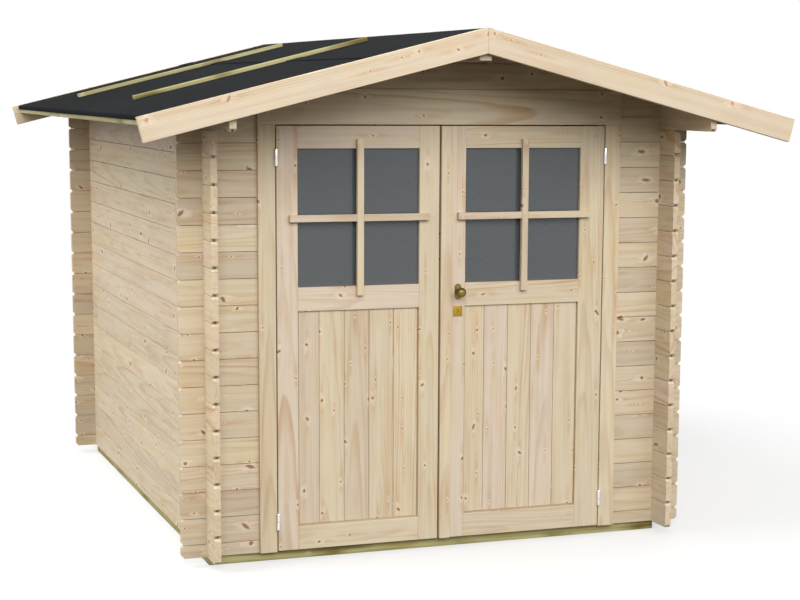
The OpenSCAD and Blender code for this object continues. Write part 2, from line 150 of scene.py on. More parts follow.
class ShedStage(PropertyGroup):
    """The camera and the light, as fitted to the photograph."""
    lens: FloatProperty(name="Lens", description="Focal length for a 36 mm sensor", default=83.650,
                        min=10.0, unit="CAMERA")
    eye: FloatVectorProperty(name="Eye", description="Place of the camera", size=3,
                             default=(-2.84894, -8.90240, 2.03433), subtype="TRANSLATION", unit="LENGTH")
    yaw: angle_prop("Yaw", "Turn of the view to the right of +Y", 0.36624)
    tilt: angle_prop("Tilt", "Tilt of the view above level", -0.15235)
    roll: angle_prop("Roll", "Roll of the camera", 0.00876)
    shift: FloatVectorProperty(name="Shift", description="Shift of the picture, in widths", size=2,
                               default=(-0.075, 0.09375))
    front: power_prop("Front light", "Soft lamp in front", 2400.0)
    right: power_prop("Right light", "Soft lamp in front on the right", 1020.0)
    left: power_prop("Left light", "Soft lamp on the left", 1200.0)
    high: power_prop("High light", "Soft lamp high on the left", 1780.0)
    back: power_prop("Back light", "Soft lamp behind on the right", 1000.0)
    sky: FloatProperty(name="Sky light", description="Strength of the even light all round",
                       default=0.52, min=0.0)


# Shader helpers

TIMES = {"operation": "MULTIPLY"}
PLUS = {"operation": "ADD"}
LESS = {"operation": "SUBTRACT"}
OVER = {"operation": "DIVIDE"}
SMOOTH = {"interpolation_type": "SMOOTHSTEP"}
COVER = {"data_type": "RGBA"}
STAIN = {"data_type": "RGBA", "blend_type": "MULTIPLY"}


def mm(*sizes):
    """Sizes in millimetres as metres."""
    return tuple(size / 1000.0 for size in sizes)


def node(tree, kind, *values, named=(), **settings):
    """Add a node with its settings, and give its inputs values or links, in order or by name."""
    made = tree.nodes.new("ShaderNode" + kind)
    for key, value in settings.items():
        setattr(made, key, value)
    shown = [socket for socket in made.inputs if socket.enabled]
    given = list(zip(shown, values)) + [(made.inputs[key], value) for key, value in dict(named).items()]
    for socket, value in given:
        if isinstance(value, bpy.types.Node):
            value = next(out for out in value.outputs if out.enabled)
        if isinstance(value, bpy.types.NodeSocket):
            tree.links.new(value, socket)
        elif socket.type == "RGBA":
            socket.default_value = (*value, 1.0)
        else:
            socket.default_value = value
    return made


def fresh(name):
    """An empty material, and the function that adds its nodes."""
    made = bpy.data.materials.new(name)
    made.use_nodes = True
    made.node_tree.nodes.clear()
    return made, partial(node, made.node_tree)


def material(build, context):
    """A material by the name of its function, made once."""
    return bpy.data.materials.get(build.__name__) or build(context.scene.shed_colours)


# Materials

# Marks of the grain: length and width of one mark in millimetres, then its detail and roughness.
# Real fibres are finer than the render shows, so they are drawn 3 mm wide.
GRAIN_MARKS = {
    "rim": (9, 4, 2.0, 0.5),
    "patch": (33, 11, 2.0, 0.5),
    "wave": (625, 111, 2.0, 0.5),
    "fibre": (167, 3, 3.0, 0.6),
    "streak": (900, 21, 3.0, 0.5),
    "blush": (1100, 59, 2.0, 0.5),
    "mottle": (312, 125, 3.0, 0.5),
}
KNOT_CELL = mm(160, 100, 0)      # one knot at most to each piece of board face of this size
KNOT_SMALL = 0.0024              # radius of the smallest knots
KNOT_TURN = 0.9                  # how far a knot lies askew at most, in radians
KNOT_SLIM = (0.35, 0.9)          # width of an oval knot to its length, from and to
REDRAW = 7.13                    # turns one chance into another
KNOT_RAGGED = 1.1                # how ragged a knot's rim is, in radii
HALO_STRETCH = (0.4, 1.0, 0.0)   # the pale patch round a knot is longer along the grain
HALO_RAGGED = 5.0                # how ragged that patch is, in radii
TAIL_LONG = 0.12                 # reach of the red tail of a knot along the grain
TAIL_WIDE = (0.013, 0.001)       # and across it: where it ends, and where it is full
TRUNK_BEND = mm(0, 35, 35)       # how far the pith wanders across a board
TRUNK_TAPER = (0.012, 1.0, 1.0)  # the rings narrow by 12 mm in a metre of trunk
KNOT_SWELL = 0.006               # how far the rings step aside round a knot
FIBRE_RELIEF = 0.0006            # depth of the planed fibres
LIVE_KNOT = 2.6                  # how much brighter the heart of a live knot is
HALO_TINT = "#EFE2CE"            # pale wood round a knot
END_TINT = "#FEFAF6"             # sawn ends


def timber(name, tones, knot, ring=0.006, contrast=0.45, share=0.55, rough=0.55, red=0.5, big=0.006,
           patch="#FAF5F2", stripe="#F0EBE5"):
    """Solid wood: growth rings about a pith, fibres, streaks and knots, all from the grain attribute.

    ring is the width of a year in metres, contrast the strength of latewood, share the part of the
    cells that hold a knot, red the strength of red streaks and big the radius of the biggest knots.
    """
    made, add = fresh(name)
    grain = add("Attribute", attribute_name="grain").outputs["Vector"]
    tone = add("Attribute", attribute_name="tone").outputs["Fac"]
    end = add("Attribute", attribute_name="end").outputs["Fac"]
    marks = {}
    for mark, (long, wide, detail, gap) in GRAIN_MARKS.items():
        cells = add("VectorMath", grain, mm(long, wide, wide), **OVER)
        marks[mark] = add("TexNoise", named={
            "Vector": cells, "Scale": 1.0, "Detail": detail, "Roughness": gap})

    # knots lie in cells on the face of the board, each turned its own way: the small ones dark and
    # dead, the big ones red-brown, with a pale patch and a red tail along the grain
    face = add("VectorMath", grain, KNOT_CELL, **OVER)
    spots = add("TexVoronoi", named={"Vector": face, "Scale": 1.0, "Randomness": 1.0},
                voronoi_dimensions="2D")
    chance = add("SeparateColor", spots.outputs["Color"]).outputs
    away = add("VectorMath", face, spots.outputs["Position"], **LESS)
    away = add("VectorMath", away, KNOT_CELL, **TIMES)
    along, across = add("SeparateXYZ", away).outputs[:2]
    turn = add("MapRange", chance[2], 0.0, 1.0, -KNOT_TURN, KNOT_TURN, **SMOOTH)
    askew = add("VectorRotate", named={"Vector": away, "Angle": turn}, rotation_type="Z_AXIS")
    size = add("Math", chance[0], 2.0, operation="POWER")
    size = add("MapRange", size, 0.0, 1.0, KNOT_SMALL, big, **SMOOTH)
    slim = add("Math", add("Math", chance[0], REDRAW, **TIMES), operation="FRACT")
    slim = add("MapRange", slim, 0.0, 1.0, *KNOT_SLIM, **SMOOTH)
    askew = add("VectorMath", askew, add("CombineXYZ", slim, 1.0), **TIMES)
    picked = add("Math", chance[1], 1.0 - share, operation="GREATER_THAN")
    there = add("Math", picked, add("Math", 1.0, end, **LESS), **TIMES)
    ragged = add("Math", add("Math", marks["rim"], 0.5, **LESS), KNOT_RAGGED, **TIMES)
    reach = add("Math", add("VectorMath", askew, operation="LENGTH"), size, **OVER)
    reach = add("Math", reach, ragged, **PLUS)
    heart = add("Math", add("MapRange", reach, 1.3, 0.5, **SMOOTH), there, **TIMES)
    oval = add("VectorMath", add("VectorMath", away, HALO_STRETCH, **TIMES), operation="LENGTH")
    drift = add("Math", add("Math", marks["patch"], 0.5, **LESS), HALO_RAGGED, **TIMES)
    spread = add("Math", add("Math", oval, size, **OVER), drift, **PLUS)
    halo = add("Math", add("MapRange", spread, 3.4, 0.8, **SMOOTH), there, **TIMES)
    along = add("MapRange", add("Math", along, operation="ABSOLUTE"), TAIL_LONG, 0.0, **SMOOTH)
    across = add("MapRange", add("Math", across, operation="ABSOLUTE"), *TAIL_WIDE, **SMOOTH)
    tail = add("Math", add("Math", along, across, **TIMES), there, **TIMES)

    # rings bend with the slow waves of the trunk and round the knots
    bend = add("VectorMath", marks["wave"].outputs["Color"], (0.5, 0.5, 0.5), **LESS)
    bend = add("VectorMath", grain, add("VectorMath", bend, TRUNK_BEND, **TIMES), **PLUS)
    radius = add("VectorMath", add("VectorMath", bend, TRUNK_TAPER, **TIMES), operation="LENGTH")
    radius = add("Math", radius, add("Math", halo, KNOT_SWELL, **TIMES), **PLUS)
    age = add("Math", radius, ring, **OVER)
    year = add("Math", age, operation="FRACT")
    vigour = add("TexWhiteNoise", add("Math", age, operation="FLOOR"), noise_dimensions="1D")
    late = add("Math", add("MapRange", year, 0.4, 0.88, **SMOOTH),
               add("MapRange", year, 1.0, 0.9, **SMOOTH), **TIMES)
    strong = add("MapRange", vigour, 0.75, 0.95, 0.0, red, **SMOOTH)
    latewood = add("MapRange", marks["blush"], 0.35, 0.65, contrast * 0.3, contrast, **SMOOTH)

    # the tone of the board comes first, then the stains that darken it, from mottling to fine fibres
    colour = add("ValToRGB", tone)
    stops = colour.color_ramp.elements
    while len(stops) < len(tones):
        stops.new(0.5)
    for i, shade in enumerate(tones):
        stops[i].position = i / (len(tones) - 1)
        stops[i].color = (*shade, 1.0)
    stains = (
        (add("MapRange", marks["mottle"], 0.5, 0.72, **SMOOTH), "#FEFAF0"),
        (add("MapRange", marks["mottle"], 0.5, 0.3, **SMOOTH), patch),
        (add("Math", late, latewood, **TIMES), "#E7D8C7"),
        (add("Math", late, strong, **TIMES), "#E6C2A0"),
        (add("MapRange", marks["streak"], 0.4, 0.75, 0.0, 0.7, **SMOOTH), stripe),
        (add("MapRange", marks["fibre"], 0.5, 0.8, 0.0, 0.35, **SMOOTH), "#EAE2D8"),
        (add("MapRange", marks["blush"], 0.52, 0.75, 0.0, red, **SMOOTH), "#F9E7D7"),
        (add("Math", tail, 0.6, **TIMES), "#F3DAC0"),
    )
    for amount, stain in stains:
        colour = add("Mix", amount, colour, linear(stain), **STAIN)
    colour = add("Mix", add("Math", halo, 0.45, **TIMES), colour, linear(HALO_TINT), **COVER)
    live = add("MapRange", chance[0], 0.45, 0.9, **SMOOTH)
    core = add("Mix", live, knot, [c * LIVE_KNOT for c in knot], **COVER)
    bark = add("MapRange", reach, 0.25, 1.0, 0.0, 0.75, **SMOOTH)
    core = add("Mix", bark, core, knot, **COVER)
    colour = add("Mix", add("Math", heart, 0.96, **TIMES), colour, core, **COVER)
    colour = add("Mix", end, colour, linear(END_TINT), **STAIN)

    raised = add("Math", marks["fibre"], 0.7, **TIMES)
    relief = add("Math", raised, add("Math", late, 0.4, **TIMES), **LESS)
    bump = add("Bump", named={"Height": relief, "Strength": 0.35, "Distance": FIBRE_RELIEF})
    gloss = add("MapRange", marks["fibre"], 0.2, 0.8, rough - 0.08, rough + 0.1, **SMOOTH)
    add("OutputMaterial", add("BsdfPrincipled", named={
        "Base Color": colour, "Roughness": gloss, "Specular IOR Level": 0.15, "Normal": bump}))
    return made


def planed_spruce(colours):
    """Planed spruce: cream boards that differ from one another, fine rings and small brown knots."""
    tones = (colours.spruce_grey, colours.spruce_warm, colours.spruce_gold, colours.spruce_pale,
             colours.spruce_pink)
    return timber("planed_spruce", tones, colours.knot, contrast=0.48, share=0.8, red=0.42, big=0.009)


def ringed_spruce(colours):
    """Spruce with strong red-brown rings, for the boards of the roof edge."""
    return timber("ringed_spruce", (colours.barge, colours.spruce_warm), colours.knot_pale, ring=0.0065,
                  contrast=0.8, share=0.45, red=0.7, big=0.009)


def joinery_spruce(colours):
    """Joinery spruce: even, straight-grained and a little smoother than the walls."""
    tones = (colours.spruce_gold, colours.spruce_pale, colours.spruce_warm, colours.spruce_pink,
             colours.spruce_pale)
    return timber("joinery_spruce", tones, colours.knot, contrast=0.5, share=0.6, rough=0.5)


def green_treated_pine(colours):
    """Pressure-treated pine: a green-yellow stain over the rings."""
    return timber("green_treated_pine", (colours.treated, colours.lath), colours.knot, contrast=0.6,
                  share=0.1, rough=0.65, red=0.2, patch="#B6A983", stripe="#A39C71")


FELT_GRIT = mm(4, 4, 4)          # the grit is about 1 mm, but the render wouldn't show it so fine
FELT_BANDS = mm(625, 1100, 625)
FELT_WORN = 1.35                 # how much brighter the weather bands are
GRIT_TINT = "#2F2F31"
GRIT_RELIEF = 0.001


def bitumen_felt(colours):
    """Bitumen felt: nearly black, matt, with a fine mineral grain and faint weather bands."""
    made, add = fresh("bitumen_felt")
    where = add("TexCoord").outputs["Object"]
    grit = add("TexNoise", named={"Vector": add("VectorMath", where, FELT_GRIT, **OVER),
                                  "Scale": 1.0, "Detail": 2.0, "Roughness": 0.7})
    bands = add("TexNoise", named={"Vector": add("VectorMath", where, FELT_BANDS, **OVER),
                                   "Scale": 1.0, "Detail": 4.0, "Roughness": 0.5})
    pale = [c * FELT_WORN for c in colours.felt]
    worn = add("MapRange", bands, 0.35, 0.75, **SMOOTH)
    colour = add("Mix", worn, colours.felt, pale, **COVER)
    sparse = add("MapRange", grit, 0.5, 0.75, 0.0, 0.4, **SMOOTH)
    colour = add("Mix", sparse, colour, linear(GRIT_TINT), **COVER)
    bump = add("Bump", named={"Height": grit, "Strength": 0.5, "Distance": GRIT_RELIEF})
    add("OutputMaterial", add("BsdfPrincipled", named={
        "Base Color": colour, "Roughness": 0.8, "Specular IOR Level": 0.015, "Normal": bump}))
    return made


def window_glass(colours):
    """Float glass: a smooth, half-clear grey-blue sheet over the dim room behind it; the grey-blue is
    painted reflection, and the clear coat gives a real gloss.
    """
    made, add = fresh("window_glass")
    add("OutputMaterial", add("BsdfPrincipled", named={
        "Base Color": colours.glass, "Roughness": 0.04, "Alpha": 0.5, "Coat Weight": 1.0}))
    return made


WEAR_CLOUD = mm(11, 11, 11)      # from one cloud of wear on metal to the next
WEAR_SHADE = 0.45                # how dark worn metal is to bare metal


def metal(name, colour, rough, wear):
    """Metal with a cloudy wear in its colour and gloss."""
    made, add = fresh(name)
    cells = add("VectorMath", add("TexCoord").outputs["Object"], WEAR_CLOUD, **OVER)
    rub = add("TexNoise", named={"Vector": cells, "Scale": 1.0, "Detail": 4.0, "Roughness": 0.5})
    worn = [c * WEAR_SHADE for c in colour]
    tint = add("Mix", add("MapRange", rub, 0.4, 0.7, 0.0, wear, **SMOOTH), colour, worn, **COVER)
    gloss = add("MapRange", rub, 0.3, 0.7, rough - 0.06, rough + 0.1, **SMOOTH)
    add("OutputMaterial", add("BsdfPrincipled", named={
        "Base Color": tint, "Metallic": 1.0, "Roughness": gloss}))
    return made


def zinc_plated_steel(colours):
    """Zinc-plated steel: pale grey with a soft gloss."""
    return metal("zinc_plated_steel", colours.zinc, 0.2, 0.15)


def satin_brass(colours):
    """Satin brass: a clear yellow with a brushed gloss."""
    return metal("satin_brass", colours.plate, 0.42, 0.2)


def dull_brass(colours):
    """Dull brass: yellow-brown with darker clouds."""
    return metal("dull_brass", colours.brass, 0.4, 0.6)


def shaded_brass(colours):
    """Painted shade: matt brown brass for the keyhole, a solid piece on the lock plate that stands for the
    hole and the brass lock case in shade behind it.
    """
    made, add = fresh("shaded_brass")
    add("OutputMaterial", add("BsdfPrincipled", named={"Base Color": colours.keyhole, "Roughness": 0.8}))
    return made


# Modelling helpers

WELD = 1e-6                          # points closer than this are one
CREASE = math.radians(40)            # edges sharper than these stay sharp on rounded pieces
PLATE_CREASE = math.radians(35)
KNOB_CREASE = math.radians(50)


def place(origin, along, across, out):
    """A frame whose first axis runs along the grain, the second across the board, the third through it."""
    spot = Matrix((along, across, out)).transposed().to_4x4()
    spot.translation = origin
    return spot


def section(points, run):
    """A board of a given cross-section, points being (across, through), extruded along the grain."""
    bm = bmesh.new()
    face = bm.faces.new([bm.verts.new((0.0, p[0], p[1])) for p in points])
    grown = bmesh.ops.extrude_face_region(bm, geom=[face])
    moved = [g for g in grown["geom"] if isinstance(g, bmesh.types.BMVert)]
    bmesh.ops.translate(bm, verts=moved, vec=(run, 0.0, 0.0))
    return bm


def planed(run, width, thick, soft, segments=2):
    """A square-edged board with softened edges."""
    bm = bmesh.new()
    bmesh.ops.create_cube(bm, size=1.0)
    bmesh.ops.translate(bm, verts=bm.verts, vec=(0.5, 0.5, 0.5))
    bmesh.ops.scale(bm, verts=bm.verts, vec=(run, width, thick))
    bmesh.ops.bevel(bm, geom=bm.edges[:], offset=soft, affect="EDGES", segments=segments, profile=0.5,
                    material=-1)
    return bm


def cut(bm, point, outward):
    """Cut a closed board off at a plane and close the cut."""
    every = bm.verts[:] + bm.edges[:] + bm.faces[:]
    done = bmesh.ops.bisect_plane(bm, geom=every, dist=WELD, plane_co=point, plane_no=outward,
                                  clear_outer=True)
    rim = [g for g in done["geom_cut"] if isinstance(g, bmesh.types.BMEdge)]
    if rim:
        bmesh.ops.holes_fill(bm, edges=rim, sides=0)


def turned(points, centre, axis, steps):
    """A solid spun from a line of points that begins and ends on the axis."""
    bm = bmesh.new()
    rim = [bm.verts.new(point) for point in points]
    lines = [bm.edges.new(pair) for pair in zip(rim, rim[1:])]
    bmesh.ops.spin(bm, geom=rim + lines, cent=centre, axis=axis, angle=FULL, steps=steps, use_merge=True)
    bmesh.ops.remove_doubles(bm, verts=bm.verts, dist=WELD)
    bmesh.ops.recalc_face_normals(bm, faces=bm.faces)
    return bm


def pile_up():
    """An empty pile of boards with the attributes that the timber materials read."""
    pile = bmesh.new()
    pile.verts.layers.float_vector.new("grain")
    pile.verts.layers.float.new("tone")
    pile.faces.layers.float.new("end")
    return pile


# Where boards are sawn from the trunk, in metres unless said otherwise
TRUNK_RUN = (0.0, 40.0)
PITH_ACROSS = (0.15, 0.85)           # pith behind the face, in widths of the board
PITH_BEHIND = (0.02, 0.09)
PITH_BESIDE = (0.04, 0.12)           # pith beyond the edge of the board
PITH_OFF = (-0.03, 0.03)
COMMON_TONES = (0.0, 0.8)            # part of a material's tones that most boards draw from
END_GRAIN = 0.9                      # faces that look along the grain this much are sawn ends


def lay(pile, bm, spot, rng, cuts=(), tone=None, flat=0.75):
    """Put a board in place, cut it there, give it a trunk of its own and add it to the pile.

    flat is the chance of a flat-sawn board, whose pith lies behind its face and not beside it.
    """
    bmesh.ops.transform(bm, matrix=spot, verts=bm.verts)
    for point, outward in cuts:
        cut(bm, point, outward)
    bmesh.ops.recalc_face_normals(bm, faces=bm.faces)
    grain = bm.verts.layers.float_vector.new("grain")
    shade = bm.verts.layers.float.new("tone")
    back = spot.inverted()
    wide = max((back @ v.co).y for v in bm.verts)
    run = rng.uniform(*TRUNK_RUN)
    if rng.random() < flat:
        across = rng.uniform(*PITH_ACROSS) * wide
        pith = Vector((run, across, rng.choice((-1, 1)) * rng.uniform(*PITH_BEHIND)))
    else:
        pith = Vector((run, wide + rng.uniform(*PITH_BESIDE), rng.uniform(*PITH_OFF)))
    mark = rng.uniform(*COMMON_TONES) if tone is None else tone
    butt = bm.faces.layers.float.new("end")
    turn = back.to_3x3()
    for f in bm.faces:
        f[butt] = 1.0 if abs((turn @ f.normal).x) > END_GRAIN else 0.0
    for v in bm.verts:
        local = back @ v.co
        v[grain] = (local.x + pith.x, local.y - pith.y, local.z - pith.z)
        v[shade] = mark
    drop(pile, bm)


def plank(pile, foot, axes, size, soft, rng, segments=2, **extra):
    """Lay a softened board with its foot at a point; size is its run, width and thickness."""
    lay(pile, planed(*size, soft, segments), place(foot, *axes), rng, **extra)


def drop(pile, bm):
    """Add a mesh to the pile."""
    part = bpy.data.meshes.new("part")
    bm.to_mesh(part)
    bm.free()
    pile.from_mesh(part)
    bpy.data.meshes.remove(part)


def stand(name, pile, look, body, nodes=(), smooth=None):
    """Turn the pile into an object that rides on a body and stands for its nodes."""
    mesh = bpy.data.meshes.new(name)
    pile.to_mesh(mesh)
    pile.free()
    if smooth is not None:
        mesh.shade_smooth()
        mesh.set_sharp_from_angle(angle=smooth)
    obj = bpy.data.objects.new(name, mesh)
    bpy.context.scene.collection.objects.link(obj)
    mesh.materials.append(look)
    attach(obj, body)
    if nodes:
        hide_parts(*nodes)
    return obj


def seeded(name):
    """A source of chance that is the same at every run."""
    return random.Random("shed " + name)


# Shape of the shed, read from the frame

WALL_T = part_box("left_wall")[1].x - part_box("left_wall")[0].x
RIDGE = Vector((0.0, 0.0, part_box("ridge_purlin")[1].z))
DOOR_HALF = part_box("door_stops")[1].x        # half the width between the jambs


def slope_axes(side, sizes):
    """Directions down the slope and out of it, on the left (-1) or the right (1)."""
    c = math.cos(sizes.pitch)
    s = math.sin(sizes.pitch)
    return Vector((side * c, 0.0, -s)), Vector((side * s, 0.0, c))


def down_slope(box, rise, sizes):
    """How far from the ridge a roof piece ends, down the slope, when its upper edge lies at a rise."""
    reach = max(abs(box[0].x), abs(box[1].x))
    return (reach - rise * math.sin(sizes.pitch)) / math.cos(sizes.pitch)


def roof_cuts(sizes, sides=(-1, 1)):
    """Planes of the underside of the roof boards."""
    return [(RIDGE, slope_axes(side, sizes)[1]) for side in sides]


# Tongues and grooves, as shares of the board's thickness
GROOVE_HALF = 0.17
GROOVE_DEEP = 0.34
TONGUE_TALL = 0.36
TONGUE_ROOT = 0.12           # the part of the tongue that sits in its own board
TONGUE_THICK = 0.27
TONGUE_BACK = 0.365          # from the face to the tongue
TONGUE_SOFT = 0.03


def grooved(width, thick, sizes, groove=True):
    """Cross-section of a tongue-and-groove board: softened edges, a hairline gap above, a groove below."""
    c = sizes.joint
    m = thick / 2
    g = thick * GROOVE_HALF
    deep = thick * GROOVE_DEEP
    top = width - sizes.joint_gap
    low = [(0.0, c)]
    if groove:
        low += [(0.0, m - g), (deep, m - g), (deep, m + g), (0.0, m + g)]
    low += [(0.0, thick - c)]
    return low + [(c, thick), (top - c, thick), (top, thick - c), (top, c), (top - c, 0.0), (c, 0.0)]


def tongue(run, width, thick, back):
    """The tongue of a board, standing back from its ends."""
    bm = planed(run - 2 * back, thick * TONGUE_TALL, thick * TONGUE_THICK, thick * TONGUE_SOFT, 1)
    foot = (back, width - thick * TONGUE_ROOT, thick * TONGUE_BACK)
    bmesh.ops.translate(bm, verts=bm.verts, vec=foot)
    return bm


def wall_board(run, height, sizes, groove=True, start=True, end=True):
    """One interlocking board with chamfered corners at its free ends."""
    bm = section(grooved(height, WALL_T, sizes, groove), run)
    e = sizes.end_chamfer
    if start:
        cut(bm, (0.0, e, 0.0), (-1.0, -1.0, 0.0))
        cut(bm, (0.0, height - e, 0.0), (-1.0, 1.0, 0.0))
    if end:
        cut(bm, (run, e, 0.0), (1.0, -1.0, 0.0))
        cut(bm, (run, height - e, 0.0), (1.0, 1.0, 0.0))
    drop(bm, tongue(run, height, WALL_T, WALL_T))
    return bm


LEAST_COURSE = 0.4           # share of a course under which no further board is laid


def courses(low, high, step, first):
    """Heights of the joints between two levels."""
    rows = [low, low + first]
    while rows[-1] < high - step * LEAST_COURSE:
        rows.append(rows[-1] + step)
    return rows


# Parts of a material's tones that other pieces draw from. The side walls draw from the paler tones and the
# end walls from the duller ones. This is partly painted light, drawing the side walls brighter and the end
# walls darker for how the light falls on them, besides the random tone of each board.
BEAM_TONES = (0.0, 0.25)
SIDE_TONES = (0.3, 1.0)
END_TONES = (0.0, 0.6)
BATTEN_TONES = (0.35, 0.6)
BARGE_TONES = (0.0, 0.4)
LATH_TONE = 0.95


class SHED_OT_base(Operator):
    """Sawn base beams under the walls, green-treated"""
    bl_idname = "shed.base_beams"
    bl_label = "Base beams"
    bl_options = {"REGISTER", "UNDO"}

    def execute(self, context):
        soft = context.scene.shed_sizes.soft_edge
        look = material(green_treated_pine, context)
        rng = seeded("base")
        lo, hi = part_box("end_base_beams")
        slo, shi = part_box("side_base_beams")
        tall = hi.z - lo.z
        pile = pile_up()
        for y0, y1 in ((lo.y, slo.y), (shi.y, hi.y)):
            size = (hi.x - lo.x, tall, y1 - y0)
            plank(pile, (lo.x, y0, lo.z), LEVEL, size, soft, rng, tone=rng.uniform(*BEAM_TONES))
        stand("end_beams", pile, look, "shell", ["end_base_beams"])
        wide = slo.y - lo.y
        pile = pile_up()
        for x0 in (slo.x, shi.x - wide):
            size = (shi.y - slo.y, tall, wide)
            plank(pile, (x0, slo.y, lo.z), DEEP, size, soft, rng, tone=rng.uniform(*BEAM_TONES))
        stand("side_beams", pile, look, "shell", ["side_base_beams"])
        return {"FINISHED"}


class SHED_OT_walls(Operator):
    """Walls of interlocking boards that cross at the corners"""
    bl_idname = "shed.walls"
    bl_label = "Walls"
    bl_options = {"REGISTER", "UNDO"}

    def execute(self, context):
        sizes = context.scene.shed_sizes
        look = material(planed_spruce, context)
        h = sizes.course
        # side walls in paler tones than the end walls: partly painted light
        for name, axes, first, start, end, tones in (
                ("left_wall", DEEP, h, True, True, SIDE_TONES),
                ("right_wall", DEEP, h, True, True, SIDE_TONES),
                ("front_wall_left", LEVEL, h / 2, True, False, END_TONES),
                ("front_wall_right", LEVEL, h / 2, False, True, END_TONES),
                ("back_wall", LEVEL, h / 2, True, True, END_TONES)):
            rng = seeded(name)
            lo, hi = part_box(name)
            run = (hi - lo).dot(axes[0])
            pile = pile_up()
            rows = courses(lo.z, hi.z, h, first)
            for z0, z1 in zip(rows, rows[1:]):
                bm = wall_board(run, z1 - z0, sizes, z0 > lo.z, start, end)
                lay(pile, bm, place((lo.x, lo.y, z0), *axes), rng, tone=rng.uniform(*tones))
            stand(name + "_boards", pile, look, "shell", [name])
        return {"FINISHED"}


LEAST_GABLE = 0.03           # height under the ridge that is left without a board of its own
LOG_BLANK = 0.2              # height of an eave log before the slope of the roof cuts it
OVERRUN = 0.02               # boards that the ridge cuts off start this much beyond it
BARGE_OVERRUN = 0.05
MITRE_GAP = 0.0004           # half the open joint between two barge boards


class SHED_OT_gables(Operator):
    """Gables: the topmost boards of the end walls, cut to the slope of the roof"""
    bl_idname = "shed.gables"
    bl_label = "Gables"
    bl_options = {"REGISTER", "UNDO"}

    def execute(self, context):
        sizes = context.scene.shed_sizes
        look = material(planed_spruce, context)
        for name in ("front_gable", "back_gable"):
            rng = seeded(name)
            lo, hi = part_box(name)
            pile = pile_up()
            z0 = lo.z
            while z0 < RIDGE.z - LEAST_GABLE:
                bm = wall_board(hi.x - lo.x, sizes.course, sizes)
                lay(pile, bm, place((lo.x, lo.y, z0), *LEVEL), rng, roof_cuts(sizes))
                z0 += sizes.course
            stand(name + "_boards", pile, look, "shell", [name])
        return {"FINISHED"}


class SHED_OT_logs(Operator):
    """Eave logs and ridge purlin that carry the roof out past the end walls"""
    bl_idname = "shed.logs"
    bl_label = "Logs"
    bl_options = {"REGISTER", "UNDO"}

    def execute(self, context):
        sizes = context.scene.shed_sizes
        look = material(planed_spruce, context)
        rng = seeded("logs")
        lo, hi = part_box("eave_logs")
        pile = pile_up()
        run = hi.y - lo.y
        e = sizes.end_chamfer
        for side, x0 in ((-1, lo.x), (1, hi.x - WALL_T)):
            bm = section(grooved(LOG_BLANK, WALL_T, sizes), run)
            cut(bm, (0.0, e, 0.0), (-1.0, -1.0, 0.0))
            cut(bm, (run, e, 0.0), (1.0, -1.0, 0.0))
            lay(pile, bm, place((x0, lo.y, lo.z), *DEEP), rng, roof_cuts(sizes, (side,)))
        stand("eave_log_pair", pile, look, "shell", ["eave_logs"])
        lo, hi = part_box("ridge_purlin")
        pile = pile_up()
        size = (hi.y - lo.y, hi.z - lo.z, hi.x - lo.x)
        plank(pile, lo, DEEP, size, sizes.soft_edge, rng, cuts=roof_cuts(sizes))
        stand("ridge_purlin_beam", pile, look, "shell", ["ridge_purlin"])
        return {"FINISHED"}


class SHED_OT_roof_boards(Operator):
    """Roof boards laid from ridge to eave, with a V joint underneath"""
    bl_idname = "shed.roof_boards"
    bl_label = "Roof boards"
    bl_options = {"REGISTER", "UNDO"}

    def execute(self, context):
        sizes = context.scene.shed_sizes
        look = material(planed_spruce, context)
        t = sizes.deck
        c = sizes.joint
        for name, side in (("roof_boards_left", -1), ("roof_boards_right", 1)):
            rng = seeded(name)
            lo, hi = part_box(name)
            down, out = slope_axes(side, sizes)
            run = down_slope((lo, hi), t, sizes)
            count = round((hi.y - lo.y) / sizes.deck_board)
            wide = (hi.y - lo.y) / count
            profile = [(0.0, c), (c, 0.0), (wide - c, 0.0), (wide, c), (wide, t), (0.0, t)]
            pile = pile_up()
            for i in range(count):
                bm = section(profile, run + OVERRUN)
                spot = place(RIDGE + Y * (lo.y + i * wide) - down * OVERRUN, down, Y, out)
                lay(pile, bm, spot, rng, [(Vector(), -side * X)])
            stand(name + "_set", pile, look, "shell", [name])
        return {"FINISHED"}


FELT_WAVE = 0.0008           # height of the waves in felt that lies on boards
FELT_WAVES = (2.0, 3.5)      # waves in a metre, down the slope and along the ridge
WAVE_SEED = 5.0
STRIP_STEPS = 40             # faces of a strip down the slope, round the bend and along the ridge
BEND_STEPS = 6
LONG_STEPS = 96
RIDGE_STEPS = 22             # faces of the ridge strip on each slope
LAP_RISE = 0.02              # run over which the ridge strip rises onto the strips below


